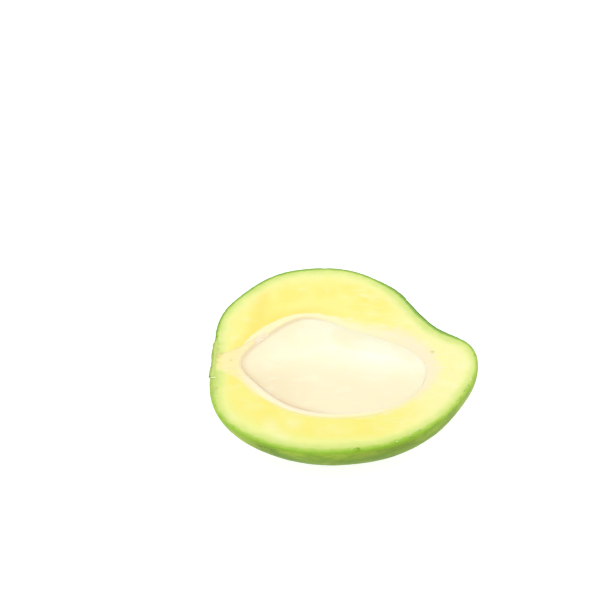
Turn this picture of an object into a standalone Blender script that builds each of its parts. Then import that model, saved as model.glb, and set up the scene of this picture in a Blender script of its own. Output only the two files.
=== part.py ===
"""Half of a green mango, cut lengthways through the stone, lying on its rounded side.

X runs from the stem end to the beak, Y across the cut face, Z up.
The origin is on the ground, under the middle of the cut face's box.
The shape functions work in millimetres, and each mesh is written in metres.
"""

from math import asin, atan2, cos, exp, pi, radians, sin

import bmesh
import bpy
from mathutils import Vector

MM = 0.001

# The whole half fruit: the cut face's box, and the depth from it to the round underside.
# The flat spot that it rests on takes a little off that depth.
LENGTH = 90.0
WIDTH = 75.0
DEPTH = 30.6
FLAT_LOSS = 0.35
CUT_HEIGHT = DEPTH - FLAT_LOSS
# Deeper sections shrink towards the low point, swell towards the beak, and lose the hollow above it
LOW_POINT = Vector((-1.5, -1.5))
LEAN = Vector((1.6, -0.3))
ROUNDING = 0.6

# The layers: how thick the skin is, the gap between neighbours, how deep the stone and its seed
# go below the cut, and how high the seed stands above it
PEEL = 1.4
GAP = 0.3
STONE_DEPTH = 10.8
KERNEL_DEPTH = 8.3
KERNEL_RISE = 2.9
DOME_POWER = 1.9

# The stem end: where the stalk came off, as a turn round the outline from the beak, its corky scar,
# and the dimple that it sits in
SCAR_TURN = radians(193.0)
SCAR_RADIUS = 6.8
SCAR_PROUD = 0.6
SCAR_DEPTH = PEEL - 0.1
DIMPLE = 0.6
DIMPLE_RADIUS = 9.0

# Facets round each outline and from the cut down to the lowest point
FRUIT_AROUND = 80
FRUIT_DOWN = 12
STONE_AROUND = 48
STONE_DOWN = 8

# Outlines in the cut, anticlockwise from the beak, with the hollow above the beak
FRUIT_OUTLINE = [
    (45.2, -3.1), (42.8, 5.4), (32.6, 11.8), (26.8, 17.6), (17.6, 28.9), (1.0, 37.0), (-19.7, 35.7),
    (-34.5, 26.1), (-42.5, 13.7), (-44.9, -10.6), (-40.1, -24.9), (-26.4, -33.9), (-8.4, -37.5),
    (14.2, -34.7), (30.9, -25.8), (41.8, -12.7),
]
HUSK_OUTLINE = [
    (31.5, -5.7), (28.6, 3.8), (19.6, 10.7), (6.6, 13.2), (-3.9, 16.8), (-12.9, 18.1), (-22.9, 14.8),
    (-31.9, 7.4), (-35.9, -2.7), (-30.9, -12.7), (-18.9, -21.2), (-2.9, -24.3), (13.1, -22.2), (25.6, -14.7),
]
KERNEL_OUTLINE = [
    (27.4, -5.7), (24.6, 0.6), (16.6, 6.0), (3.1, 11.0), (-6.9, 15.1), (-15.4, 15.2), (-24.5, 9.2),
    (-33.9, -1.2), (-29.7, -9.7), (-18.1, -19.1), (-2.9, -22.6), (12.1, -20.8), (23.6, -14.4),
]


def point_on(outline, turn):
    """The closed smooth curve through the outline's points; turn goes from 0 to 2 pi."""
    count = len(outline)
    place = turn / (2 * pi) * count
    first = int(place // 1)
    t = place - first
    a, b, c, d = (Vector(outline[(first + step) % count]) for step in (-1, 0, 1, 2))
    bend = (2 * a - 5 * b + 4 * c - d) * t ** 2
    twist = (3 * b - a - 3 * c + d) * t ** 3
    return 0.5 * (2 * b + (c - a) * t + bend + twist)


def fitted(outline, length, width):
    """The outline scaled and centred so that its curve just fills a box."""
    curve = [point_on(outline, 2 * pi * step / 720) for step in range(720)]
    low_x = min(point.x for point in curve)
    high_x = max(point.x for point in curve)
    low_y = min(point.y for point in curve)
    high_y = max(point.y for point in curve)
    return [((x - (low_x + high_x) / 2) * length / (high_x - low_x),
             (y - (low_y + high_y) / 2) * width / (high_y - low_y)) for x, y in outline]


def inset_point(outline, turn, inset):
    """A point of the outline, moved inwards by the inset, square to the curve."""
    step = 0.01
    along = (point_on(outline, turn + step) - point_on(outline, turn - step)).normalized()
    return point_on(outline, turn) + inset * Vector((-along.y, along.x))


def stem_end():
    """The middle of the stem end on the outline, before its dimple, and the way out of the fruit there."""
    outline = fitted(FRUIT_OUTLINE, LENGTH, WIDTH)
    skin = inset_point(outline, SCAR_TURN, 0.0)
    outward = inset_point(outline, SCAR_TURN, -1.0) - skin
    return Vector((*skin, CUT_HEIGHT)), Vector((*outward, 0.0))


def fruit_layer(inset):
    """A surface of the cheek, the given depth under the skin, as a function of turn and drop."""
    outline = fitted(FRUIT_OUTLINE, LENGTH, WIDTH)
    depth = DEPTH - inset
    stem, outward = stem_end()

    def point(turn, drop):
        edge = inset_point(outline, turn, inset)
        oval = LOW_POINT + Vector(((LENGTH / 2 - inset) * cos(turn), (WIDTH / 2 - inset) * sin(turn)))
        section = edge.lerp(oval, ROUNDING * sin(drop) ** 2)
        flat = LOW_POINT.lerp(section, cos(drop)) + LEAN * sin(2 * drop)
        height = max(CUT_HEIGHT - depth * sin(drop), 0.0)
        plain = Vector((*flat, height))
        dent = DIMPLE * exp(-((plain - stem).length / DIMPLE_RADIUS) ** 2)
        return plain - dent * outward

    return point


def stone_layer(outline, growth, depth):
    """A surface of the stone or the seed below the cut, grown by a gap, as a function of turn and drop."""

    def point(turn, drop):
        edge = inset_point(outline, turn, -growth)
        return Vector((edge.x * cos(drop), edge.y * cos(drop), CUT_HEIGHT - (depth + growth) * sin(drop)))

    return point


def turn_and_drop(corner):
    """The angle round Z and the angle below the equator of a point on the unit ball."""
    return atan2(corner.y, corner.x) % (2 * pi), asin(max(-1.0, min(1.0, -corner.z)))


def add_half_ball(form, around, down, lift):
    """The lower half of a ball, open on top, as a list of each vertex with its turn and drop."""
    ball = bmesh.ops.create_uvsphere(form, u_segments=around, v_segments=2 * down, radius=1.0)
    equator = 0.001
    above = [vert for vert in ball["verts"] if vert.co.z > equator]
    below = [vert for vert in ball["verts"] if vert.co.z <= equator]
    bmesh.ops.delete(form, geom=above, context="VERTS")
    placed = [(vert, *turn_and_drop(vert.co)) for vert in below]
    bmesh.ops.translate(form, verts=below, vec=(0.0, 0.0, lift))
    return placed


def finish(name, form, collection, material):
    """Turn the form into an object of that name, shaded smooth but for its sharp edges."""
    bmesh.ops.recalc_face_normals(form, faces=form.faces)
    mesh = bpy.data.meshes.new(name)
    form.to_mesh(mesh)
    form.free()
    mesh.shade_smooth()
    mesh.set_sharp_from_angle(angle=radians(40))
    mesh.materials.append(material)
    item = bpy.data.objects.new(name, mesh)
    collection.objects.link(item)
    return item


def bowl(name, around, down, outer, inner, collection, material):
    """A wall between two layers, closed along the cut by a flat rim.

    The two balls are joined while one is above the other, and then each is pulled on to its layer.
    """
    form = bmesh.new()
    outer_wall = add_half_ball(form, around, down, 0.0)
    inner_wall = add_half_ball(form, around, down, 1.0)
    rims = [edge for edge in form.edges if edge.is_boundary]
    bmesh.ops.bridge_loops(form, edges=rims)
    for layer, wall in ((outer, outer_wall), (inner, inner_wall)):
        for vert, turn, drop in wall:
            vert.co = layer(turn, drop) * MM
    return finish(name, form, collection, material)


def paint(name, colour, roughness):
    """A plain shader with the part's colour."""
    material = bpy.data.materials.new(name)
    material.use_nodes = True
    shader = material.node_tree.nodes["Principled BSDF"]
    shader.inputs["Base Color"].default_value = (*colour, 1.0)
    shader.inputs["Roughness"].default_value = roughness
    shader.inputs["Metallic"].default_value = 0.0
    return material


def cut_with(item, cutter):
    """Take the cutter away from the item."""
    cut = item.modifiers.new("cut_" + cutter.name, "BOOLEAN")
    cut.operation = "DIFFERENCE"
    cut.object = cutter


def add_cutter(name, form, collection):
    """A hidden object that only cuts others."""
    mesh = bpy.data.meshes.new(name)
    form.to_mesh(mesh)
    form.free()
    cutter = bpy.data.objects.new(name, mesh)
    cutter.hide_render = True
    cutter.display_type = "WIRE"
    collection.objects.link(cutter)
    return cutter


def make_peel(collection, cutters):
    """The skin, with a round hole at the stem end for the scar."""
    material = paint("green_skin", (0.33, 0.50, 0.10), 0.42)
    peel = bowl("peel", FRUIT_AROUND, FRUIT_DOWN, fruit_layer(0.0), fruit_layer(PEEL), collection, material)
    form = bmesh.new()
    radius = (SCAR_RADIUS + GAP) * MM
    depth = 8.0 * MM
    bmesh.ops.create_cone(form, cap_ends=True, segments=32, radius1=radius, radius2=radius, depth=depth)
    socket = add_cutter("scar_socket", form, cutters)
    place_on_stem_end(socket)
    cut_with(peel, socket)


def place_on_stem_end(item):
    """Put an object that was made round Z in the dimple of the stem end, facing out of the fruit."""
    stem, outward = stem_end()
    item.location = (stem - DIMPLE * outward) * MM
    item.rotation_euler = (0.0, pi / 2, atan2(outward.y, outward.x))


def make_flesh(collection):
    """The flesh between the skin and the stone."""
    material = paint("pale_yellow_flesh", (0.95, 0.90, 0.30), 0.38)
    outer = fruit_layer(PEEL + GAP)
    inner = stone_layer(HUSK_OUTLINE, GAP, STONE_DEPTH)
    bowl("flesh", FRUIT_AROUND, FRUIT_DOWN, outer, inner, collection, material)


def make_husk(collection):
    """The pale fibrous husk of the stone, a thin cup that holds the seed."""
    material = paint("pale_husk", (0.97, 0.88, 0.58), 0.55)
    outer = stone_layer(HUSK_OUTLINE, 0.0, STONE_DEPTH)
    inner = stone_layer(KERNEL_OUTLINE, GAP, KERNEL_DEPTH)
    bowl("husk", STONE_AROUND, STONE_DOWN, outer, inner, collection, material)


def make_kernel(collection):
    """The seed, a whole ball that fills the husk and domes a little above the cut."""
    material = paint("cream_kernel", (0.98, 0.91, 0.68), 0.30)
    below = stone_layer(KERNEL_OUTLINE, 0.0, KERNEL_DEPTH)
    form = bmesh.new()
    ball = bmesh.ops.create_uvsphere(form, u_segments=STONE_AROUND, v_segments=2 * STONE_DOWN, radius=1.0)
    for vert in ball["verts"]:
        turn, drop = turn_and_drop(vert.co)
        if drop >= 0:
            point = below(turn, drop)
        else:
            edge = point_on(KERNEL_OUTLINE, turn)
            rise = KERNEL_RISE * sin(-drop) ** DOME_POWER
            point = Vector((edge.x * cos(drop), edge.y * cos(drop), CUT_HEIGHT + rise))
        vert.co = point * MM
    finish("kernel", form, collection, material)


def make_stem_scar(collection, cutters):
    """A corky disc with a raised ring and a sunken middle, turned from a profile and cut in half."""
    material = paint("corky_scar", (0.15, 0.11, 0.04), 0.90)
    steps = 32
    top = SCAR_PROUD
    profile = [
        (0.0, top - 0.7), (1.3, top - 0.65), (2.4, top - 1.0), (3.8, top - 0.55), (5.2, top),
        (6.1, top - 0.1), (SCAR_RADIUS, top - 0.6), (SCAR_RADIUS, -SCAR_DEPTH), (0.0, -SCAR_DEPTH),
    ]
    mesh = bpy.data.meshes.new("stem_scar")
    edges = [(step, step + 1) for step in range(len(profile) - 1)]
    mesh.from_pydata([(radius * MM, 0.0, height * MM) for radius, height in profile], edges, [])
    mesh.materials.append(material)
    scar = bpy.data.objects.new("stem_scar", mesh)
    collection.objects.link(scar)
    place_on_stem_end(scar)

    turned = scar.modifiers.new("turned", "SCREW")
    turned.axis = "Z"
    turned.steps = steps
    turned.render_steps = steps
    turned.use_merge_vertices = True
    turned.merge_threshold = 0.00001
    turned.use_smooth_shade = True

    form = bmesh.new()
    block = 40.0
    bmesh.ops.create_cube(form, size=block * MM)
    half_above = add_cutter("above_the_cut", form, cutters)
    half_above.location = Vector((-LENGTH / 2, 0.0, CUT_HEIGHT + block / 2)) * MM
    cut_with(scar, half_above)


def build():
    for item in list(bpy.data.objects):
        bpy.data.objects.remove(item)
    fruit = bpy.data.collections.new("half_mango")
    cutters = bpy.data.collections.new("cutters")
    bpy.context.scene.collection.children.link(fruit)
    bpy.context.scene.collection.children.link(cutters)
    make_peel(fruit, cutters)
    make_flesh(fruit)
    make_husk(fruit)
    make_kernel(fruit)
    make_stem_scar(fruit, cutters)


build()
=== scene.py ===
from functools import lru_cache
from math import asin, cos, exp, pi, radians, sin

import bmesh
import bpy
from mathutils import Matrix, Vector, kdtree, noise


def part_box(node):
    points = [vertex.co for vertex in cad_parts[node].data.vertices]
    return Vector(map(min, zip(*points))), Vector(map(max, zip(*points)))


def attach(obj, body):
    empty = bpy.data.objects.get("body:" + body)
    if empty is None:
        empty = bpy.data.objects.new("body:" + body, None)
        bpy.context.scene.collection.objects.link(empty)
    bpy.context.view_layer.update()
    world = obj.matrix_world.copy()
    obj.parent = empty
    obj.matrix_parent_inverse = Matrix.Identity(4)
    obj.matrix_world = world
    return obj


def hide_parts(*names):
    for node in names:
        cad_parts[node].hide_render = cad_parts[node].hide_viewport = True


# Half a green mango, cut lengthways through the stone and lying on its rounded skin.
# X runs from the stem end to the beak, Y across the cut and Z up. Sizes here are in millimetres,
# and every mesh is written in metres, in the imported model's frame.

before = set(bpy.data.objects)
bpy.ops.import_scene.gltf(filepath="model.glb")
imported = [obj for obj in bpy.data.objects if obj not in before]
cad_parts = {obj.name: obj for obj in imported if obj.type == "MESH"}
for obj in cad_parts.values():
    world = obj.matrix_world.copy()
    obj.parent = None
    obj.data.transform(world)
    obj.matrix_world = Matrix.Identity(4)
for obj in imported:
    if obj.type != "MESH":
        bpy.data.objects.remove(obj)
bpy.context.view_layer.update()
scene = bpy.context.scene


# The seed
# A young mango's seed is one soft cream bean that nearly fills its husk. The knife went round it, so it is
# whole. It lies loose in the husk's hollow, and its upper half domes a little above the cut.

MM = 0.001
WELD = 0.000001
SHARP = radians(40)

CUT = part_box("husk")[1].z / MM
SEED_LOW, SEED_HIGH = (corner.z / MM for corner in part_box("kernel"))
SEED_OUTLINE = (
    (27.4, -5.7), (24.6, 0.6), (16.6, 6.0), (3.1, 11.0), (-6.9, 15.1), (-15.4, 15.2), (-24.5, 9.2),
    (-33.9, -1.2), (-29.7, -9.7), (-18.1, -19.1), (-2.9, -22.6), (12.1, -20.8), (23.6, -14.4),
)
DOME_POWER = 1.9
SEED_AROUND = 360
SEED_ABOVE = 64
SEED_BELOW = 14
SEED_SINK = 0.22
SEED_DENTS = ((0.15, 12.0, 0.0), (0.05, 5.0, 3.0), (0.015, 1.9, 5.0))
CUT_WAVES = ((0.10, 15.0, 0.0), (0.018, 0.9, 7.0))
DRAG_MARKS = 0.02


@lru_cache(maxsize=None)
def point_on(outline, turn):
    """The closed smooth curve through the outline's points; turn goes from 0 to 2 pi."""
    count = len(outline)
    place = turn / (2 * pi) * count
    first = int(place // 1)
    t = place - first
    a, b, c, d = (Vector(outline[(first + step) % count]) for step in (-1, 0, 1, 2))
    bend = (2 * a - 5 * b + 4 * c - d) * t ** 2
    twist = (3 * b - a - 3 * c + d) * t ** 3
    return 0.5 * (2 * b + (c - a) * t + bend + twist)


@lru_cache(maxsize=None)
def edge_at(outline, turn):
    """A point of the outline's curve, and the way inwards from it, square to the curve."""
    step = 0.01
    along = (point_on(outline, turn + step) - point_on(outline, turn - step)).normalized()
    return point_on(outline, turn), Vector((-along.y, along.x))


def grain(point, size, slot=0.0):
    """Smooth noise from -1 to 1 with lumps of the given size; each slot gives another pattern."""
    return noise.noise(point / size + Vector((slot, -slot, 2 * slot)))


def layered(point, layers):
    """Smooth noise summed over layers, each given by its height, the size of its lumps and its slot."""
    return sum(height * grain(point, size, slot) for height, size, slot in layers)


def soft_step(value, low, high):
    """0 below low and 1 above high, with a smooth rise between them."""
    share = max(0.0, min(1.0, (value - low) / (high - low)))
    return share * share * (3 - 2 * share)


def spread(low, high, count):
    """Evenly spaced values from low to high, both ends included."""
    return [low + (high - low) * step / (count - 1) for step in range(count)]


def new_form(*marks):
    """An empty mesh with a UV map that follows the wrapping, and a number on each vertex for every mark."""
    form = bmesh.new()
    form.loops.layers.uv.new("wrap")
    for mark in marks:
        form.verts.layers.float.new(mark)
    return form


def add_wrap(form, around, stations, place):
    """Add a closed skin with a column for each step round and a row for each station, from pole to pole.

    place(turn, station) gives the point there and the values of the form's marks.
    """
    layers = form.verts.layers.float.values()
    rows = len(stations) - 1
    grid = bmesh.ops.create_grid(form, x_segments=around, y_segments=rows, size=1.0, calc_uvs=True)
    for vert in grid["verts"]:
        column = round((vert.co.x + 1) / 2 * around) % around
        row = round((vert.co.y + 1) / 2 * rows)
        point, values = place(2 * pi * column / around, stations[row])
        vert.co = point * MM
        for layer, value in zip(layers, values):
            vert[layer] = value


def finished_piece(name, form, finish):
    """Close the seams and poles, and turn the form into an object that wears the finish."""
    bmesh.ops.remove_doubles(form, verts=form.verts, dist=WELD)
    bmesh.ops.recalc_face_normals(form, faces=form.faces)
    mesh = bpy.data.meshes.new(name)
    form.to_mesh(mesh)
    form.free()
    mesh.shade_smooth()
    mesh.set_sharp_from_angle(angle=SHARP)
    mesh.materials.append(finish.material)
    piece = bpy.data.objects.new(name, mesh)
    scene.collection.objects.link(piece)
    return piece


def screen(red, green, blue):
    """A colour as it shows on a screen, 0 to 255, turned into the shader's light values."""
    shares = (red / 255, green / 255, blue / 255)
    return tuple(share / 12.92 if share < 0.04045 else ((share + 0.055) / 1.055) ** 2.4 for share in shares)


class Value:
    """A socket that a shader expression can go on from."""

    def __init__(self, finish, socket):
        self.finish = finish
        self.socket = socket

    def maths(self, operation, first, second):
        return self.finish.node("ShaderNodeMath", {"operation": operation}, {0: first, 1: second})

    def __add__(self, other):
        return self.maths("ADD", self, other)

    def __sub__(self, other):
        return self.maths("SUBTRACT", self, other)

    def __mul__(self, other):
        return self.maths("MULTIPLY", self, other)

    def __truediv__(self, other):
        return self.maths("DIVIDE", self, other)

    def __radd__(self, other):
        return self.maths("ADD", other, self)

    def __rsub__(self, other):
        return self.maths("SUBTRACT", other, self)

    def __rmul__(self, other):
        return self.maths("MULTIPLY", other, self)

    def __neg__(self):
        return self.maths("MULTIPLY", self, -1.0)

    def above(self, low, high):
        """0 below low and 1 above high, with a smooth rise between them."""
        return self.finish.node("ShaderNodeMapRange", {"interpolation_type": "SMOOTHSTEP"},
                                {0: self, 1: low, 2: high, 3: 0.0, 4: 1.0})

    def below(self, low, high):
        """1 below low and 0 above high, with a smooth fall between them."""
        return 1 - self.above(low, high)


class Finish:
    """A material that is written as expressions on its own pattern nodes."""

    def __init__(self, name):
        self.material = bpy.data.materials.new(name)
        self.material.use_nodes = True
        self.nodes = self.material.node_tree.nodes
        self.links = self.material.node_tree.links
        self.place = self.node("ShaderNodeTexCoord", {}, {}, "Object")

    def node(self, kind, settings, sockets, output=0):
        """Add a node: its settings first, then the values or links of its sockets."""
        node = self.nodes.new(kind)
        for key, value in settings.items():
            setattr(node, key, value)
        self.fill(node, sockets)
        return Value(self, node.outputs[output])

    def fill(self, node, sockets):
        for key, value in sockets.items():
            socket = node.inputs[key]
            if isinstance(value, Value):
                self.links.new(value.socket, socket)
            elif socket.type == "RGBA":
                socket.default_value = (*value, 1.0)
            else:
                socket.default_value = value

    def axes(self):
        """The place on the piece as three numbers in millimetres."""
        apart = self.node("ShaderNodeSeparateXYZ", {}, {0: self.place}).socket.node
        return [Value(self, socket) / MM for socket in apart.outputs]

    def mark(self, name):
        """The number that the mesh carries on its vertices under this name."""
        return self.node("ShaderNodeAttribute", {"attribute_name": name}, {}, "Fac")

    def steps(self, size, slot, stretch=(1.0, 1.0, 1.0)):
        """The place on the piece, counted in steps of the given size; each slot gives another pattern."""
        scale = tuple(1 / (MM * size * length) for length in stretch)
        return self.node("ShaderNodeMapping", {}, {"Vector": self.place, "Location": (slot, slot, slot),
                                                   "Scale": scale})

    def lumps(self, size, detail=2.0, slot=0.0, stretch=(1.0, 1.0, 1.0), sway=0.0):
        """Smooth noise from 0 to 1 with lumps of the given size, longer along an axis by its stretch."""
        return self.node("ShaderNodeTexNoise", {}, {"Vector": self.steps(size, slot, stretch), "Scale": 1.0,
                                                    "Detail": detail, "Distortion": sway}, "Fac")

    def dots(self, size, slot=0.0):
        """How far the nearest of many scattered dots is, as a share of their spacing."""
        return self.node("ShaderNodeTexVoronoi", {}, {"Vector": self.steps(size, slot), "Scale": 1.0},
                         "Distance")

    def far_from(self, point):
        """How far, in millimetres, the place on the piece is from a point."""
        return self.node("ShaderNodeVectorMath", {"operation": "DISTANCE"},
                         {0: self.place, 1: tuple(point * MM)}, "Value") / MM

    def mix(self, share, first, second):
        """The first colour where the share is 0 and the second where it is 1."""
        return self.node("ShaderNodeMix", {"data_type": "RGBA"}, {0: share, 6: first, 7: second}, 2)

    def relief(self, height, distance):
        """A normal that follows a height pattern; distance is the relief's height in millimetres."""
        return self.node("ShaderNodeBump", {}, {"Height": height, "Distance": distance * MM, "Strength": 1.0},
                         "Normal")

    def surface(self, sockets):
        self.fill(self.nodes["Principled BSDF"], sockets)


def seed_form(turn, drop):
    """The smooth seed; drop is an angle below the cut, and above it where it is negative."""
    edge = point_on(SEED_OUTLINE, turn)
    if drop < 0:
        height = CUT + (SEED_HIGH - CUT) * sin(-drop) ** DOME_POWER
    else:
        height = CUT - (CUT - SEED_LOW) * sin(drop)
    return Vector((edge.x * cos(drop), edge.y * cos(drop), height))


def cut_level(point):
    """How high the knife left the cut face: broad waves, drag marks along the stroke, and torn cells."""
    flat = Vector((point.x, point.y, 0.0))
    stroke = Vector((point.x / 9.0, (point.y + 0.12 * point.x) / 1.8, 1.7))
    return CUT + layered(flat, CUT_WAVES) + DRAG_MARKS * noise.noise(stroke)


def seed_point(turn, drop):
    """The seed with the shallow dents of its soft, slightly shrunken face; its edge follows the cut."""
    point = seed_form(turn, drop)
    height = max(0.0, sin(-drop))
    sunk = height * (SEED_SINK + layered(point, SEED_DENTS))
    level = cut_level(point_on(SEED_OUTLINE, turn))
    point.z += (level - CUT) * (1 - soft_step(abs(sin(drop)), 0.0, 0.4)) - sunk
    return point, (height,)


CREAM = screen(235, 229, 193)
CREAM_PALE = screen(237, 236, 210)
CREAM_WARM = screen(236, 225, 188)
CREAM_PINK_AND_SHADE = screen(234, 220, 192)
TESTA_TAN_AND_SHADE = screen(222, 200, 158)

cream = Finish("damp_cream_seed")
x, y = cream.axes()[:2]
height = cream.mark("dome")
clouds = cream.lumps(13.0, 2.0)
flecks = cream.lumps(2.2, 3.0, 4.0, (2.5, 1.0, 1.0))
stem_side = x.below(-16.0, 0.0)
# The lower, stem-side part of the seed turns warmer and darker: partly its own tint, partly painted shade of
# the dome's lower slope.
warm_and_lower_shade = (-y - 0.35 * x).above(-6.0, 14.0) * (0.6 + 0.6 * clouds)
colour = cream.mix(clouds.above(0.35, 0.7), CREAM, CREAM_PALE)
colour = cream.mix(warm_and_lower_shade, colour, CREAM_WARM)
# Pinkish cream along the dome's low edge, strongest at the stem side: partly the seed's own tint, partly
# painted shade where the edge curves down.
colour = cream.mix(height.below(0.04, 0.34) * (0.35 + 0.45 * stem_side), colour, CREAM_PINK_AND_SHADE)
# Tan along the stem-side edge where the dome curves down: partly the seed coat, partly painted shade.
colour = cream.mix(height.below(0.06, 0.42) * stem_side * 0.85, colour, TESTA_TAN_AND_SHADE)
# The seed's lower left is tinted tan: painted shade where its face falls off towards the crevice.
low_left = x.below(-24.0, -6.0) * (-y).above(5.0, 11.0)
colour = cream.mix(low_left * 0.25, colour, TESTA_TAN_AND_SHADE)
colour = cream.mix(flecks.above(0.52, 0.75) * 0.35, colour, CREAM_PALE)
cream.surface({
    "Base Color": colour,
    "Roughness": 0.34 + 0.14 * flecks,
    "Normal": cream.relief(flecks + 0.6 * clouds, 0.03),
    "Subsurface Weight": 0.2,
    "Subsurface Radius": (1.0, 0.75, 0.4),
    "Subsurface Scale": 0.0006,
    "Coat Weight": 0.35,
    "Coat Roughness": 0.22,
})

form = new_form("dome")
stations = spread(-pi / 2, 0.0, SEED_ABOVE)[:-1] + spread(0.0, pi / 2, SEED_BELOW)
add_wrap(form, SEED_AROUND, stations, seed_point)
seed = finished_piece("seed", form, cream)
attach(seed, "root")
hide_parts("kernel")


# The husk of the stone
# In a green fruit the stone's husk is still a pale, damp, fibrous rind, not wood. It has grown on to the
# flesh all round. A shallow crevice parts it from the seed, widest at the stem end, by a patch that tore;
# its tan band is partly a lining and partly painted shade.

HUSK_OUTLINE = (
    (31.5, -5.7), (28.6, 3.8), (19.6, 10.7), (6.6, 13.2), (-3.9, 16.8), (-12.9, 18.1), (-22.9, 14.8),
    (-31.9, 7.4), (-35.9, -2.7), (-30.9, -12.7), (-18.9, -21.2), (-2.9, -24.3), (13.1, -22.2), (25.6, -14.7),
)
HUSK_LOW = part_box("husk")[0].z / MM
HUSK_AROUND = 480
HUSK_ACROSS = 26
SEAM = 0.02
CREVICE_WIDE = 0.8
CREVICE_NARROW = 0.005
CREVICE_DEEP = 0.06
CREVICE_LIP = 0.04
TORN_PATCH = Vector((-27.6, 8.0, CUT))
TORN_REACH = 3.0
TORN_SHREDS = 0.16
HUSK_THREADS = 0.04
FAR = 20.0

FRUIT_LENGTH = 90.0
FRUIT_WIDTH = 75.0
FRUIT_POINTS = (
    (45.2, -3.1), (42.8, 5.4), (32.6, 11.8), (26.8, 17.6), (17.6, 28.9), (1.0, 37.0), (-19.7, 35.7),
    (-34.5, 26.1), (-42.5, 13.7), (-44.9, -10.6), (-40.1, -24.9), (-26.4, -33.9), (-8.4, -37.5),
    (14.2, -34.7), (30.9, -25.8), (41.8, -12.7),
)
STEM_X = -43.0
FAN_REACH = 16.4
FAN_FADES = 11.0
FAN_TOP = 1.3
FAN_TOP_RISE = 8.9
FAN_LOW = -5.4
FAN_LOW_FALL = 3.7
FAN_LOW_REACH = 8.0


def fitted(outline, length, width):
    """The outline scaled and centred so that its curve just fills a box."""
    curve = [point_on(outline, 2 * pi * step / 720) for step in range(720)]
    low_x = min(point.x for point in curve)
    high_x = max(point.x for point in curve)
    low_y = min(point.y for point in curve)
    high_y = max(point.y for point in curve)
    return tuple(((x - (low_x + high_x) / 2) * length / (high_x - low_x),
                  (y - (low_y + high_y) / 2) * width / (high_y - low_y)) for x, y in outline)


FRUIT_OUTLINE = fitted(FRUIT_POINTS, FRUIT_LENGTH, FRUIT_WIDTH)


def distance_from(outline):
    """A function that gives how far a place in the cut is from the outline's curve."""
    samples = 2400
    tree = kdtree.KDTree(samples)
    for step in range(samples):
        tree.insert((*point_on(outline, 2 * pi * step / samples), 0.0), step)
    tree.balance()
    return lambda point: tree.find((point.x, point.y, 0.0))[2]


from_skin = distance_from(FRUIT_OUTLINE)
from_husk = distance_from(HUSK_OUTLINE)
from_seed = distance_from(SEED_OUTLINE)


def fan_edges(x):
    """The upper and lower edge of the fan of strands that comes in from the stem; x goes along the cut."""
    reach = max(0.0, x - STEM_X)
    top = FAN_TOP + FAN_TOP_RISE * (reach / FAN_REACH) ** 1.6
    low = FAN_LOW - FAN_LOW_FALL * (reach / FAN_LOW_REACH) ** 2
    return top, low


def in_fan(point):
    """How far a place in the cut belongs to that fan, from 0 to 1."""
    top, low = fan_edges(point.x)
    across = soft_step(top - point.y, -0.5, 0.9) * soft_step(point.y - low, -0.8, 1.2)
    return across * (1 - soft_step(point.x, STEM_X + FAN_FADES, STEM_X + FAN_REACH))


def crevice_share(edge):
    """How open the crevice round the seed is: fully at the stem end, shut towards the beak but for a gap."""
    gap = exp(-((edge.x - 27.0) / 1.6) ** 2 - ((edge.y + 8.0) / 2.4) ** 2)
    stem_end = (1 - soft_step(edge.x, -20.0, -3.0)) * (0.5 + 0.5 * soft_step(edge.y, -10.0, 0.0))
    return max(stem_end, 0.35 * gap)


def stone_point(turn, drop, growth):
    """The outer side of the husk, grown by the growth; drop is the angle below the cut."""
    edge, inward = edge_at(HUSK_OUTLINE, turn)
    edge = edge - growth * inward
    return Vector((edge.x * cos(drop), edge.y * cos(drop), CUT - (CUT - HUSK_LOW + growth) * sin(drop)))


def husk_point(turn, station):
    """The husk's outer wall, the ring that the cut shows, and the hollow that holds the seed."""
    where, share = station
    if where == "wall":
        point = stone_point(turn, share, 0.0)
        return point, (FAR, 0.0, 2.0, 0.0)
    seed_edge, inward = edge_at(SEED_OUTLINE, turn)
    openness = crevice_share(seed_edge)
    crevice = CREVICE_NARROW + (CREVICE_WIDE - CREVICE_NARROW) * openness
    lip = seed_edge - crevice * inward
    sunk = CREVICE_LIP * openness
    if where == "ring":
        point = Vector((*point_on(HUSK_OUTLINE, turn).lerp(lip, share), 0.0))
        inner = from_seed(point)
        torn = exp(-((point - TORN_PATCH.xy.to_3d()).length / TORN_REACH) ** 2)
        threads = HUSK_THREADS * noise.noise(Vector((turn * 22.0, inner / 2.5, 0.0)))
        threads += torn * TORN_SHREDS * (grain(point, 1.3, 5.0) - 0.5)
        threads *= soft_step(share, 0.0, 0.4) * soft_step(inner, crevice, crevice + 0.5)
        point.z = cut_level(point) + threads - sunk * exp(-max(0.0, inner - crevice) / 0.4)
        return point, (FAR, -from_husk(point), inner, in_fan(point))
    depth = (CUT - SEED_LOW + SEAM) * sin(share)
    closing = max(0.0, 1 - depth / CREVICE_DEEP) ** 1.5
    growth = SEAM + (crevice - SEAM) * closing
    hollow = seed_edge - growth * inward
    top = cut_level(Vector((*lip, 0.0))) - sunk
    return Vector((hollow.x * cos(share), hollow.y * cos(share), top - depth)), (FAR, -3.0, 0.0, 0.0)


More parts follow.
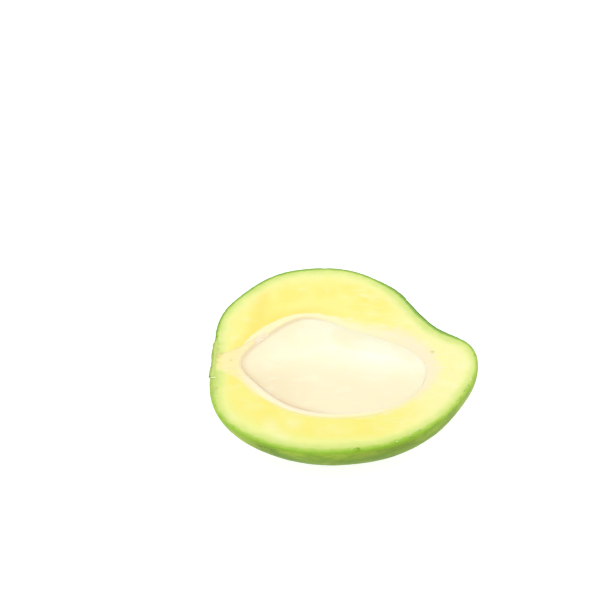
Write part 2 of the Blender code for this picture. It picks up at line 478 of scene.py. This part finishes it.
FLESH_DEEP = screen(231, 221, 106)
FLESH_YELLOW = screen(231, 225, 124)
FLESH_PALE = screen(232, 230, 168)
FLESH_WARM = screen(233, 214, 96)
FLESH_GREENISH = screen(222, 228, 138)
UNDER_SKIN = screen(190, 210, 102)
RIM_GREEN = screen(122, 168, 66)
RIM_BRIGHT = screen(150, 190, 66)
RIM_DARK = screen(70, 110, 38)
RIM_SOFT = screen(160, 186, 84)
HUSK_LINE = screen(226, 216, 132)
HUSK_CREAM = screen(236, 230, 182)
HUSK_PINK = screen(234, 223, 188)
STRAND_CREAM = screen(237, 224, 166)
STRAND_PINK = screen(238, 217, 166)
STRAND_RUST = screen(216, 190, 128)
FLECK_TAN = screen(206, 178, 104)
FLECK_OLIVE = screen(194, 184, 98)
FLECKS = (
    (29.8, 2.0, 1.0), (-43.3, 0.9, 1.3), (-42.0, 0.1, 1.4), (-40.8, 1.5, 1.2), (-37.6, -1.2, 0.8),
    (-42.0, 3.7, 0.9), (-42.2, -2.2, 0.9), (-42.3, -12.3, 1.0),
)
PALE_PATCHES = ((-21.0, -31.0), (-38.0, -25.0), (-24.0, -27.0), (-17.0, -26.0))


def cut_colour(finish):
    """The colour of the cut, from the green under the skin to the cream husk.

    The pieces that grew together share it, so no seam shows between them. rim is the depth under the skin and
    stone the distance from the husk's outer edge, negative inside it.
    """
    x, y = finish.axes()[:2]
    stem_side = (-x).above(33.0, 41.0) * (-y).above(-10.0, -4.0) * y.above(-20.0, -11.0)
    rim = finish.mark("rim_mm")
    near_rim = rim / (1 + 1.2 * stem_side)
    stone = finish.mark("stone_mm")
    fan = finish.mark("fan") * near_rim.above(0.85, 1.35)
    clouds = finish.lumps(9.0, 2.0)
    patches = finish.lumps(4.5, 2.0, 3.0, (1.6, 1.0, 1.0))
    fine = finish.lumps(1.3, 3.0, 6.0, (1.8, 1.0, 1.0))
    fibres = finish.lumps(0.8, 2.0, 9.0, (8.0, 1.0, 1.0), 0.7)
    dashes = finish.lumps(0.7, 2.0, 15.0, (1.0, 2.5, 1.0))
    waves = finish.lumps(2.6, 2.0, 20.0)
    towards_beak = x.above(8.0, 34.0)

    # Yellow flesh with pale fibres, paler towards the beak, a warm streak, and a warm edge above the stone
    flesh = finish.mix(clouds.above(0.35, 0.65), FLESH_YELLOW, FLESH_DEEP)
    flesh = finish.mix(towards_beak * 0.75 + patches.above(0.52, 0.72) * 0.4, flesh, FLESH_PALE)
    beside_streak = x + 26.5 + 0.15 * (22.0 - y)
    streak = beside_streak.below(-1.0, 3.5) * beside_streak.above(-6.0, -1.0)
    flesh = finish.mix(streak * y.above(6.0, 14.0) * 0.85, flesh, FLESH_WARM)
    close = stone.below(0.2, 4.0) * x.below(-14.0, 4.0) * y.above(0.0, 8.0)
    flesh = finish.mix(close * 0.8, flesh, FLESH_WARM)
    lower_side = (-y).above(-4.0, 18.0)
    flesh = finish.mix(lower_side * (1 - towards_beak) * 0.42, flesh, FLESH_DEEP)
    fibrous = (0.15 + 0.55 * x.above(-6.0, 14.0)) * (1 - 0.6 * lower_side)
    flesh = finish.mix(fibres.above(0.55, 0.72) * fibrous, flesh, FLESH_PALE)

    # Paler and greener towards the skin, with pale patches near the lower edge
    low_left = (-y - 0.8 * x).above(10.0, 45.0)
    upper_side = 1 - lower_side
    uneven = 2.2 * (patches - 0.5) + 1.0 * (fine - 0.5)
    flesh = finish.mix((rim + uneven).below(3.0, 8.0) * upper_side * 0.35, flesh, FLESH_PALE)
    greenish = rim + uneven - 2.5 * low_left - 0.8 * upper_side
    flesh = finish.mix(greenish.below(1.3, 5.4) * 0.8, flesh, FLESH_GREENISH)
    for patch in PALE_PATCHES:
        near = (finish.far_from(Vector((*patch, CUT))) + 5.0 * (patches - 0.5)).below(0.0, 4.6)
        flesh = finish.mix(near * 0.55, flesh, FLESH_PALE)
    near_beak = x.above(8.0, 20.0) * x.below(34.0, 41.0)
    hollow = near_beak * y.above(-6.0, 8.0)
    under_skin = rim / (1 + 0.7 * stem_side) + uneven - 0.9 - 0.3 * lower_side - 0.9 * hollow
    flesh = finish.mix(under_skin.below(-0.4, 3.2) * 0.95, flesh, UNDER_SKIN)

    # The green line inside the skin, darkest at the outside and in the hollow above the beak
    edge = near_rim / (1 + 0.45 * hollow) + 0.7 * (fine - 0.5) + 1.8 * lower_side * (waves - 0.5) - 0.15
    green = finish.mix(stem_side, finish.mix(lower_side, RIM_GREEN, RIM_BRIGHT), RIM_SOFT)
    low_right = x.above(20.0, 36.0) * (-y).above(-8.0, 4.0)
    soft = low_left + low_right
    green_share = (edge + 0.25 * low_right).below(0.30 - 0.7 * soft, 1.25 + 0.5 * soft)
    flesh = finish.mix(green_share, flesh, green)
    outermost = (rim - 0.2 * hollow).below(0.10, 0.40) * (0.2 * y.above(-6.0, 8.0) + 0.8 * hollow)
    flesh = finish.mix(outermost * (0.5 + fine), flesh, RIM_DARK)
    ends = x.above(35.0, 40.0) + x.below(-42.0, -38.0)
    within = rim.above(0.2, 0.5) * rim.below(0.9, 1.5)
    flesh = finish.mix(ends * within * dashes.above(0.58, 0.68) * 0.5, flesh, RIM_DARK)

    # The husk, whose outer edge blurs into the flesh towards the beak and shows as a faint line below
    husk = finish.mix(x.above(4.0, 24.0), HUSK_CREAM, HUSK_PINK)
    husk = finish.mix(fine.above(0.5, 0.75) * 0.3, husk, FLESH_PALE)
    low = (-y).above(14.0, 21.0) * x.below(8.0, 20.0)
    blur = 0.3 + 2.3 * (x + 0.4 * y).above(-4.0, 18.0) + 0.5 * low
    inside = (0.0 - stone + 2.0 * (fibres - 0.5) * blur + 1.5 * (fine - 0.5) * blur) / blur
    colour = finish.mix(inside.above(-1.0, 1.0), flesh, husk)
    line = stone.above(-1.2, 0.0) * stone.below(0.0, 0.5) * low
    colour = finish.mix(line * (0.2 + 0.8 * fine), colour, HUSK_LINE)

    # The fan of strands from the stem, rusty along its upper edge, and a few flecks
    strand = finish.mix(fibres.above(0.42, 0.60) * 0.7, STRAND_CREAM, STRAND_PINK)
    strand = finish.mix(near_rim.below(1.2, 2.6) * 0.4, strand, FLESH_DEEP)
    colour = finish.mix(fan * (0.75 + 0.5 * (fibres - 0.5)), colour, strand)
    rusty = 4 * fan * (1 - fan) * y.above(-1.5, 1.0)
    colour = finish.mix(rusty.above(0.2, 1.1) * (0.1 + 0.4 * fine), colour, STRAND_RUST)
    tint = finish.mix(x.above(-30.0, 0.0), FLECK_OLIVE, FLECK_TAN)
    for along, across, reach in FLECKS:
        near = finish.far_from(Vector((along, across, CUT))) + 1.6 * (fine - 0.5)
        colour = finish.mix(near.below(0.1, reach) * 0.5, colour, tint)
    return colour


TORN_PINK = screen(232, 211, 176)
TORN_WHITE = screen(239, 229, 206)

rind = Finish("damp_fibrous_husk")
inner = rind.mark("seed_mm")
fine = rind.lumps(0.7, 3.0, 2.0, (2.0, 1.0, 1.0))
shreds = rind.lumps(0.7, 2.0, 8.0, (2.2, 1.0, 1.0), 0.5)
x, y = rind.axes()[:2]
# A tan band on the husk's lip round the seed, strongest at the stem end and the upper side: partly a tan
# lining, partly painted crevice shade.
crevice_lining_and_shade = inner.below(0.3, 1.3) * (0.7 - 0.6 * x.above(-16.0, 0.0)) * (0.7 + 0.6 * fine)
crevice_lining_and_shade = crevice_lining_and_shade * (0.55 + 0.45 * y.above(-7.0, 2.0))
torn = rind.far_from(TORN_PATCH).below(0.6 * TORN_REACH, 1.2 * TORN_REACH) * inner.below(1.6, 2.6)
low_left = (-x).above(-2.0, 12.0) * (-y).above(4.0, 10.0)
# Whiter cream on the husk's inner lip at the lower left: partly the husk's own pale tissue, partly a painted
# highlight.
colour = rind.mix(inner.below(0.8, 2.4) * low_left * 0.7, cut_colour(rind), TORN_WHITE)
colour = rind.mix(crevice_lining_and_shade, colour, TESTA_TAN_AND_SHADE)
colour = rind.mix(torn * 0.8, colour, rind.mix(shreds.above(0.40, 0.60), TORN_PINK, TORN_WHITE))
rind.surface({
    "Base Color": colour,
    "Roughness": 0.48 + 0.15 * fine,
    "Normal": rind.relief(fine, 0.05),
    "Subsurface Weight": 0.15,
    "Subsurface Radius": (1.0, 0.8, 0.4),
    "Subsurface Scale": 0.0004,
})

form = new_form("rim_mm", "stone_mm", "seed_mm", "fan")
stations = [("wall", drop) for drop in spread(pi / 2, 0.05, 9)]
stations += [("ring", share) for share in spread(0.0, 1.0, HUSK_ACROSS)]
stations += [("hollow", pi / 2 * share ** 2) for share in spread(0.0, 1.0, 16)]
add_wrap(form, HUSK_AROUND, stations, husk_point)
husk = finished_piece("stone_husk", form, rind)
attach(husk, "root")
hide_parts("husk")


# The flesh
# Unripe flesh is firm, moist and pale yellow, greener towards the skin, with fibres that run lengthways and
# grow out of the husk. The knife left its cut face nearly flat. It fills the skin and holds the stone.

PEEL = 1.4
FLAT_LOSS = 0.35
DEPTH = CUT + FLAT_LOSS
LOW_POINT = Vector((-1.5, -1.5))
LEAN = Vector((1.6, -0.3))
ROUNDING = 0.6
SCAR_TURN = radians(193.0)
DIMPLE = 0.6
DIMPLE_RADIUS = 9.0
TONGUE = 0.05
FLESH_AROUND = 720
FLESH_ACROSS = 64
FLESH_THREADS = 0.02

stem_edge, stem_inward = edge_at(FRUIT_OUTLINE, SCAR_TURN)
STEM = Vector((*stem_edge, CUT))
STEM_OUT = Vector((*(-stem_inward), 0.0))


def skin_layer(turn, drop, inset):
    """A point of the fruit's form, the given depth under the skin; drop is the angle below the cut."""
    edge, inward = edge_at(FRUIT_OUTLINE, turn)
    edge = edge + inset * inward
    oval = LOW_POINT + Vector(((FRUIT_LENGTH / 2 - inset) * cos(turn), (FRUIT_WIDTH / 2 - inset) * sin(turn)))
    section = edge.lerp(oval, ROUNDING * sin(drop) ** 2)
    flat = LOW_POINT.lerp(section, cos(drop)) + LEAN * sin(2 * drop)
    plain = Vector((*flat, max(CUT - (DEPTH - inset) * sin(drop), 0.0)))
    return plain - DIMPLE * exp(-((plain - STEM).length / DIMPLE_RADIUS) ** 2) * STEM_OUT


def flesh_point(turn, station):
    """The flesh's hidden outer wall, its cut face with a thin tongue under each neighbour, and its hollow."""
    where, share = station
    if where == "wall":
        return skin_layer(turn, share, PEEL + SEAM), (PEEL, FAR, 0.0)
    if where == "bed":
        return stone_point(turn, share, SEAM), (FAR, 0.0, 0.0)
    if where == "tongue":
        point = skin_layer(turn, 0.0, PEEL - TONGUE) if share == 0 else stone_point(turn, 0.0, -TONGUE)
        point.z = cut_level(point) - TONGUE
    else:
        point = skin_layer(turn, 0.0, PEEL).lerp(stone_point(turn, 0.0, 0.0), share)
        point.z = cut_level(point)
    rim = from_skin(point)
    threads = noise.noise(Vector((point.x / 5.0, (point.y - 0.1 * point.x) / 0.7, 4.0)))
    point.z += FLESH_THREADS * threads * soft_step(rim, 2.0, 5.0)
    return point, (rim, from_husk(point), in_fan(point))


flesh_finish = Finish("moist_unripe_flesh")
cells = flesh_finish.lumps(0.6, 3.0, 1.0)
threads = flesh_finish.lumps(0.8, 2.0, 9.0, (8.0, 1.0, 1.0), 0.7)
flesh_finish.surface({
    "Base Color": cut_colour(flesh_finish),
    "Roughness": 0.42 + 0.16 * cells,
    "Normal": flesh_finish.relief(cells + 0.5 * threads, 0.04),
    "Subsurface Weight": 0.15,
    "Subsurface Radius": (1.0, 0.85, 0.3),
    "Subsurface Scale": 0.0004,
    "Coat Weight": 0.12,
    "Coat Roughness": 0.35,
})

form = new_form("rim_mm", "stone_mm", "fan")
stations = [("wall", drop) for drop in spread(pi / 2, 0.04, 13)]
stations += [("tongue", 0)]
stations += [("cut", share) for share in spread(0.0, 1.0, FLESH_ACROSS)]
stations += [("tongue", 1)]
stations += [("bed", drop) for drop in spread(0.06, pi / 2, 9)]
add_wrap(form, FLESH_AROUND, stations, flesh_point)
flesh = finished_piece("fruit_flesh", form, flesh_finish)
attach(flesh, "root")
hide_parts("flesh")


# The skin
# The skin is a thin waxy green layer that has grown on to the flesh. The knife left its edge a little ragged,
# with small nicks. It has shallow swellings, a fine grain, paler mottles, dots, and a few brown scuffs.

SKIN_AROUND = 720
SKIN_DOWN = 70
CLEARANCE = 0.05
EDGE_RADIUS = 0.35
EDGE_DROP = asin(EDGE_RADIUS / DEPTH)
SCAR_RADIUS = 6.8
SCAR_DEPTH = 1.1
MEAN_RADIUS = 41.0
SWELLINGS = ((0.20, 14.0, 2.0), (0.09, 5.5, 4.0), (0.03, 2.0, 6.0))
RAGGED = 0.16
NICKS = (
    (79.5, 0.20, 0.5), (120.0, 0.15, 0.6), (185.6, 0.35, 0.9), (200.1, 0.25, 0.5), (228.0, 0.15, 0.5),
    (244.5, 0.20, 0.5), (282.4, 0.45, 0.9), (295.4, 0.20, 0.5), (301.8, 0.25, 0.6), (315.0, 0.15, 0.6),
    (343.4, 0.35, 0.5),
)


def out_of_fruit(point):
    """The way out of the fruit at a point of its skin."""
    return Vector(((point.x - LOW_POINT.x) / FRUIT_LENGTH ** 2, (point.y - LOW_POINT.y) / FRUIT_WIDTH ** 2,
                   (point.z - CUT) / (2 * DEPTH) ** 2)).normalized()


def clear_of_scar(point):
    """0 under the cork of the stem scar and 1 outside it."""
    return soft_step((point - STEM).length, SCAR_RADIUS - 0.7, SCAR_RADIUS + 0.3)


def swellings(point):
    """How far the skin lies under the smooth form, for its shallow swellings and dents."""
    deepest = sum(layer[0] for layer in SWELLINGS)
    ragged = RAGGED * max(0.0, grain(point, 0.9, 8.0)) * soft_step(point.z, CUT - 0.8, CUT)
    return CLEARANCE + (deepest + layered(point, SWELLINGS)) / 2 + ragged


def bitten(turn, height):
    """How deep the knife's nicks bite into the edge; height is the place's height in the fruit."""
    bites = (depth * exp(-((turn - radians(degrees)) * MEAN_RADIUS / wide) ** 2)
             for degrees, depth, wide in NICKS)
    return sum(bites) * soft_step(height, CUT - 1.3, CUT)


def skin_point(turn, station):
    """The skin's hidden inner wall, its cut edge, and its outside down to the spot that it rests on."""
    inset, drop, outside = station
    if inset < EDGE_RADIUS and drop <= EDGE_DROP:
        rounding = clear_of_scar(skin_layer(turn, 0.0, 0.0))
        inset *= rounding
        drop *= rounding
    point = skin_layer(turn, drop, inset)
    clear = clear_of_scar(point)
    share = 1 - inset / PEEL
    nick = share * bitten(turn, point.z)
    scar = share * SCAR_DEPTH * (1 - clear)
    if share > 0:
        resting = soft_step(point.z, 0.0, 0.6)
        point -= (share * swellings(point) * resting * clear + nick) * out_of_fruit(point)
        point -= scar * STEM_OUT
    point.z += (cut_level(point) - CUT) * (1 - soft_step(DEPTH * drop, 0.0, 1.5))
    wall = DEPTH * drop if outside else 0.0
    return point, (inset + scar, FAR, in_fan(point), wall, nick)


SKIN_GREEN = screen(116, 150, 26)
SKIN_LIGHT = screen(146, 174, 46)
SKIN_PAINTED_LIGHT = screen(166, 188, 66)
SKIN_DARK = screen(90, 126, 16)
SKIN_OLIVE = screen(114, 134, 26)
SKIN_VIVID = screen(134, 178, 26)
SKIN_BROWN = screen(100, 84, 30)
NICK_SHADE_GREEN = screen(96, 136, 40)

waxy = Finish("waxy_green_skin")
x, y = waxy.axes()[:2]
wall = waxy.mark("wall_mm")
mottles = waxy.lumps(6.0, 3.0, 1.0, (1.5, 1.0, 1.0))
broad = waxy.lumps(22.0, 2.0, 3.0)
streaks = waxy.lumps(0.9, 3.0, 5.0, (4.0, 1.0, 1.0))
speckle = waxy.lumps(0.8, 2.0, 7.0)
dots = waxy.dots(2.1, 2.0)
scuffs = waxy.lumps(1.1, 4.0, 11.0, (2.6, 1.0, 1.0))
clusters = waxy.lumps(15.0, 1.0, 13.0)
outer = waxy.mix(mottles.above(0.38, 0.66), SKIN_GREEN, SKIN_LIGHT)
outer = waxy.mix(mottles.below(0.30, 0.48) * 0.7, outer, SKIN_DARK)
outer = waxy.mix(broad.above(0.45, 0.65) * 0.45, outer, SKIN_OLIVE)
outer = waxy.mix(streaks.above(0.48, 0.68) * 0.4, outer, SKIN_DARK)
outer = waxy.mix(speckle.above(0.58, 0.74) * 0.35, outer, SKIN_LIGHT)
outer = waxy.mix(dots.below(0.06, 0.16) * 0.55, outer, SKIN_LIGHT)
scuffed = clusters.above(0.56, 0.66) * scuffs.above(0.57, 0.66)
right_end = x.above(18.0, 34.0)
# Both ends of the skin, the left one most, are painted lighter: painted light falling from the sides.
ends = (x * x).above(400.0, 1400.0) * (1 - 0.6 * right_end)
outer = waxy.mix(ends * 0.7, outer, SKIN_PAINTED_LIGHT)
# Lower down the side, away from the cut, the skin is painted darker: painted shade on the downward-facing
# wall.
outer = waxy.mix(wall.above(2.5, 7.0) * (1 - ends) * 0.45, outer, SKIN_DARK)
outer = waxy.mix(scuffed * 0.75, outer, SKIN_BROWN)
# Just under the cut the wall is a brighter, more vivid green: partly the skin's own green, partly painted
# light along the top of the wall.
vivid_and_lit_top = (wall + 1.6 * (mottles - 0.5)).below(0.4, 3.0) * (0.75 - 0.4 * right_end)
outer = waxy.mix(vivid_and_lit_top, outer, SKIN_VIVID)
colour = waxy.mix((wall + 0.5 * (speckle - 0.5)).above(0.05, 0.8), cut_colour(waxy), outer)
# The knife's nicks are painted a darker green: painted shade inside the bites.
nick_shade = waxy.mark("nick").above(0.06, 0.3) * speckle.above(0.35, 0.6)
waxy.surface({
    "Base Color": waxy.mix(nick_shade, colour, NICK_SHADE_GREEN),
    "Roughness": 0.46 + 0.12 * streaks + 0.25 * scuffed,
    "Normal": waxy.relief(streaks + 0.6 * speckle + dots.above(0.04, 0.18) + 0.8 * scuffed, 0.05),
    "Specular IOR Level": 0.12,
    "Subsurface Weight": 0.08,
    "Subsurface Radius": (0.6, 1.0, 0.2),
    "Subsurface Scale": 0.0008,
})

form = new_form("rim_mm", "stone_mm", "fan", "wall_mm", "nick")
stations = [(PEEL, drop, False) for drop in spread(pi / 2, 0.04, 13)]
stations += [(inset, 0.0, False) for inset in spread(PEEL, EDGE_RADIUS, 9)[:-1]]
stations += [(EDGE_RADIUS * (1 - sin(angle)), asin(EDGE_RADIUS * (1 - cos(angle)) / DEPTH), angle > 0)
             for angle in spread(0.0, pi / 2, 6)]
stations += [(0.0, EDGE_DROP + (pi / 2 - EDGE_DROP) * share ** 1.2, True)
             for share in spread(0.0, 1.0, SKIN_DOWN)[1:]]
add_wrap(form, SKIN_AROUND, stations, skin_point)
skin = finished_piece("fruit_skin", form, waxy)
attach(skin, "root")
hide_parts("peel")


# The stem scar
# Where the stalk broke off, the fruit closed the wound with brown cork: a rough raised ring round a sunken
# middle. It fills a round hole in the skin, and the knife cut it in half with the fruit.

SCAR_PROUD = 0.6
SCAR_LIP = 0.35
SCAR_UNDERLAP = 0.28
SCAR_OVERLAP = 0.015
SCAR_AROUND = 160
CORK_LUMPS = ((0.28, 1.5, 2.0), (0.16, 0.6, 4.0))
CORK_CRACKS = 0.22
UP = Vector((0.0, 0.0, 1.0))
SCAR_PROFILE = ((0.0, -0.10), (1.3, -0.05), (2.4, -0.40), (3.8, 0.05), (5.2, 0.55), (6.1, 0.50), (6.8, 0.10))


def scar_height(radius):
    """The height of the scar's top over the dimple's floor, read off its profile with soft bends."""
    for (near, low), (far, high) in zip(SCAR_PROFILE, SCAR_PROFILE[1:]):
        if radius <= far:
            return low + (high - low) * soft_step(radius, near, far)
    return SCAR_PROFILE[-1][1]


def scar_point(turn, station):
    """The cork's lumpy top, its edge, and its hidden underside."""
    radius, under = station
    turn += pi / SCAR_AROUND
    local = Vector((radius * cos(turn), radius * sin(turn), 0.0))
    lobes = grain(Vector((cos(turn), sin(turn), 0.0)), 0.5, 1.0)
    reach = radius * (1 + 0.06 * lobes * soft_step(radius, 3.0, SCAR_RADIUS))
    if under:
        height = -SCAR_DEPTH - SCAR_UNDERLAP
    else:
        height = scar_height(radius) - SCAR_LIP * soft_step(radius, 6.4, 7.2)
        height *= 0.3 + 0.7 * soft_step(abs(local.y), 0.5, 3.5)
        ray = Vector((2.6 * cos(turn), 2.6 * sin(turn), radius / 6.0))
        rough = layered(local, CORK_LUMPS) - CORK_CRACKS * max(0.0, 1 - 5 * abs(noise.noise(ray)))
        height += rough * soft_step(radius, 0.0, 1.0) - 0.10
        height = min(height, SCAR_PROUD - 0.05)
    side = Vector((-STEM_OUT.y, STEM_OUT.x, 0.0))
    point = STEM + (height - DIMPLE) * STEM_OUT + reach * (cos(turn) * side + sin(turn) * UP)
    return point, (radius, 1.0 if under else 0.0)


CORK = screen(122, 100, 50)
CORK_DARK = screen(66, 52, 26)
CORK_PALE = screen(168, 152, 92)
CORK_GREEN = screen(160, 184, 86)
CORK_FRESH = screen(192, 210, 114)

corky = Finish("dry_brown_cork")
radius = corky.mark("scar_mm")
inside = corky.mark("inside")
rough = corky.lumps(0.9, 4.0, 2.0)
specks = corky.lumps(0.45, 2.0, 5.0)
colour = corky.mix(rough.above(0.4, 0.62), CORK, CORK_PALE)
colour = corky.mix(rough.below(0.30, 0.45) * 0.9, colour, CORK_DARK)
colour = corky.mix(specks.above(0.60, 0.70) * 0.8, colour, CORK_DARK)
colour = corky.mix(radius.above(5.9, 6.9) * 0.6, colour, CORK_PALE)
z = corky.axes()[2]
inner_part = (inside - 0.25 * (rough - 0.5)).above(0.10, 0.55)
fresh = (CUT - z + 1.6 * (rough - 0.5)).below(0.5, 1.8) + inner_part
green = corky.mix(inner_part, CORK_GREEN, CORK_FRESH)
colour = corky.mix(fresh.above(0.0, 1.0) * (1 - specks.above(0.60, 0.70) * 0.25), colour, green)
corky.surface({
    "Base Color": colour,
    "Roughness": 0.78 + 0.15 * rough,
    "Normal": corky.relief(rough + 0.5 * specks, 0.15),
})

form = new_form("scar_mm", "inside")
stations = [(radius, False) for radius in spread(0.0, SCAR_RADIUS + 0.3, 44)]
stations += [(radius, True) for radius in spread(SCAR_RADIUS + 0.2, 0.0, 10)]
add_wrap(form, SCAR_AROUND, stations, scar_point)
bmesh.ops.remove_doubles(form, verts=form.verts, dist=WELD)
bmesh.ops.bisect_plane(form, geom=form.verts[:] + form.edges[:] + form.faces[:], dist=WELD,
                       plane_co=(0.0, 0.0, CUT * MM), plane_no=(0.0, 0.0, 1.0), clear_outer=True)
open_edges = [edge for edge in form.edges if edge.is_boundary]
for vert in {vert for edge in open_edges for vert in edge.verts}:
    vert.co.z = (cut_level(vert.co / MM) + SCAR_OVERLAP) * MM
cap = bmesh.ops.holes_fill(form, edges=open_edges, sides=0)
bmesh.ops.triangulate(form, faces=cap["faces"], ngon_method="EAR_CLIP")
scar = finished_piece("cork_scar", form, corky)
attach(scar, "root")
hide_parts("stem_scar")


# The stem strands
# Sap strands fan out from the stem to the end of the stone. The knife tore them more than it cut them, so
# they lie half sunk in the cut face as thin pale threads, with a rusty one along the fan's upper edge.

STRANDS = 9
STRAND_RADIUS = 0.26
STRAND_STEPS = 28
STRAND_SINK = 0.15


def strand_path(share, along):
    """A place on a strand: share goes across the fan, along goes from the stem to the stone."""
    x = STEM_X + 0.6 + along * (7.6 + 7.4 * (1 - share) ** 2)
    top, low = fan_edges(x)
    y = top + (low - top) * share
    sway = 0.5 * noise.noise(Vector((along * 2.2, share * 9.0, 2.0))) * sin(pi * along)
    return Vector((x, y + sway, 0.0))


def add_strand(form, share):
    """Add one strand, a thread that is thinner towards both ends."""

    def thread_point(turn, along):
        middle = strand_path(share, along)
        ahead = (strand_path(share, along + 0.01) - strand_path(share, along - 0.01)).normalized()
        side = Vector((-ahead.y, ahead.x, 0.0))
        swell = 0.75 + 0.25 * noise.noise(Vector((along * 6.0, share * 13.0, 7.0)))
        thick = STRAND_RADIUS * swell * sin(pi * along) ** 0.4 if 0 < along < 1 else 0.0
        middle.z = cut_level(middle) - STRAND_SINK
        point = middle + thick * (cos(turn) * side + 0.8 * sin(turn) * UP)
        return point, (max(0.0, 1 - 5 * share),)

    add_wrap(form, 10, spread(0.0, 1.0, STRAND_STEPS), thread_point)


thready = Finish("torn_sap_strands")
rust = thready.mark("rust")
fuzz = thready.lumps(0.7, 3.0, 3.0, (2.5, 1.0, 1.0))
colour = thready.mix(fuzz.above(0.35, 0.7), STRAND_CREAM, STRAND_PINK)
thready.surface({
    "Base Color": thready.mix(rust * (0.1 + 0.3 * fuzz), colour, STRAND_RUST),
    "Roughness": 0.45 + 0.1 * fuzz,
    "Subsurface Weight": 0.3,
    "Subsurface Radius": (1.0, 0.8, 0.4),
    "Subsurface Scale": 0.001,
})

form = new_form("rust")
for strand in range(STRANDS):
    add_strand(form, strand / (STRANDS - 1))
strands = finished_piece("stem_strands", form, thready)
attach(strands, "root")


# The skin slivers
# At a few places the knife left a thin whitish curl of skin hanging on the edge of the cut. Each is a flat
# shaving that is still joined to the skin at one end and stands a little off the cut at the other.

SLIVER_THICK = 0.07
SLIVERS = (
    (200.1, 0.4, 2.3, 0.26, 82.0), (343.4, 0.6, 1.5, 0.20, 60.0), (304.6, 0.9, 2.6, 0.13, 12.0),
    (301.0, 0.5, 1.1, 0.14, 4.0), (295.4, 0.4, 1.0, 0.15, -6.0), (79.5, 0.4, 0.9, 0.14, 0.0),
)


def add_sliver(form, degrees, inset, length, wide, slant):
    """Add one shaving that starts inset from the skin and runs off at a slant to the edge of the cut."""
    edge, inward = edge_at(FRUIT_OUTLINE, radians(degrees))
    start = (edge + inset * inward).to_3d()
    along_edge = Vector((inward.y, -inward.x, 0.0))
    way = cos(radians(slant)) * along_edge + sin(radians(slant)) * inward.to_3d()
    side = Vector((-way.y, way.x, 0.0))

    def sliver_point(turn, along):
        middle = start + length * along * way + 0.12 * length * sin(pi * along) * side
        middle.z = cut_level(middle) + 0.02 + 0.16 * length * along ** 2
        taper = sin(pi * along) ** 0.6 if 0 < along < 1 else 0.0
        section = wide * cos(turn) * side + SLIVER_THICK * sin(turn) * UP
        return middle + taper * section, (along,)

    add_wrap(form, 12, spread(0.0, 1.0, 18), sliver_point)


SLIVER_PALE = screen(224, 233, 174)

shaving = Finish("curled_skin_shaving")
tip = shaving.mark("tip")
grain_lines = shaving.lumps(0.5, 2.0, 4.0)
shaving.surface({
    "Base Color": shaving.mix((tip + 0.4 * (grain_lines - 0.5)).above(0.0, 0.45), UNDER_SKIN, SLIVER_PALE),
    "Roughness": 0.45 + 0.1 * grain_lines,
    "Subsurface Weight": 0.3,
    "Subsurface Radius": (0.8, 1.0, 0.4),
    "Subsurface Scale": 0.0006,
})

form = new_form("tip")
for sliver in SLIVERS:
    add_sliver(form, *sliver)
slivers = finished_piece("skin_slivers", form, shaving)
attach(slivers, "root")


# The studio
# A white table with a glow of its own, an even pale surround, a wide soft lamp overhead and a soft box
# behind, whose reflection lies on the seed. The camera looks down on the cut at the photograph's angle.

FLOOR_SIDE = 12000.0
FLOOR_GLOW = 0.74
SURROUND_GLOW = 0.77
PICTURE = 600
LENS = 126.0
SENSOR = 36.0
CAMERA_PITCH = radians(53.9)
CAMERA_DISTANCE = 700.0
AIM = Vector((0.15, -1.2, CUT))
AIM_PIXEL = (344, 360)

paper = Finish("lit_white_table")
paper.surface({
    "Base Color": paper.mix(paper.lumps(300.0), (0.54, 0.54, 0.54), (0.56, 0.56, 0.56)),
    "Roughness": 0.9,
    "Emission Color": (1.0, 1.0, 1.0),
    "Emission Strength": FLOOR_GLOW,
})
form = new_form()
bmesh.ops.create_grid(form, x_segments=1, y_segments=1, size=FLOOR_SIDE / 2 * MM)
floor = finished_piece("floor", form, paper)

scene.world = bpy.data.worlds.new("pale_surround")
scene.world.use_nodes = True
surround = scene.world.node_tree.nodes["Background"]
surround.inputs["Color"].default_value = (1.0, 1.0, 1.0, 1.0)
surround.inputs["Strength"].default_value = SURROUND_GLOW


def add_lamp(name, power, length, width, azimuth, elevation, distance):
    """A soft box that faces the fruit from an azimuth, counted from +X towards +Y, and an elevation."""
    lamp = bpy.data.lights.new(name, "AREA")
    lamp.shape = "RECTANGLE"
    lamp.size = length * MM
    lamp.size_y = width * MM
    lamp.energy = power
    holder = bpy.data.objects.new(name, lamp)
    scene.collection.objects.link(holder)
    away = Vector((cos(azimuth) * cos(elevation), sin(azimuth) * cos(elevation), sin(elevation)))
    holder.location = (AIM + distance * away) * MM
    holder.rotation_euler = away.to_track_quat("Z", "Y").to_euler()


add_lamp("overhead_lamp", 5.4, 1200.0, 1200.0, radians(-90), radians(68), 1200.0)
add_lamp("back_soft_box", 1.1, 380.0, 150.0, radians(86), radians(52), 700.0)

focal = LENS / SENSOR * PICTURE
ahead = Vector((0.0, cos(CAMERA_PITCH), -sin(CAMERA_PITCH)))
across = Vector((1.0, 0.0, 0.0))
upward = across.cross(ahead)
right_of_middle = (AIM_PIXEL[0] - PICTURE / 2) / focal * CAMERA_DISTANCE
below_middle = (AIM_PIXEL[1] - PICTURE / 2) / focal * CAMERA_DISTANCE
lens = bpy.data.cameras.new("camera")
lens.lens = LENS
lens.sensor_width = SENSOR
camera = bpy.data.objects.new("camera", lens)
scene.collection.objects.link(camera)
camera.location = (AIM - CAMERA_DISTANCE * ahead - right_of_middle * across + below_middle * upward) * MM
camera.rotation_euler = (pi / 2 - CAMERA_PITCH, 0.0, 0.0)
scene.camera = camera
scene.view_settings.view_transform = "Standard"
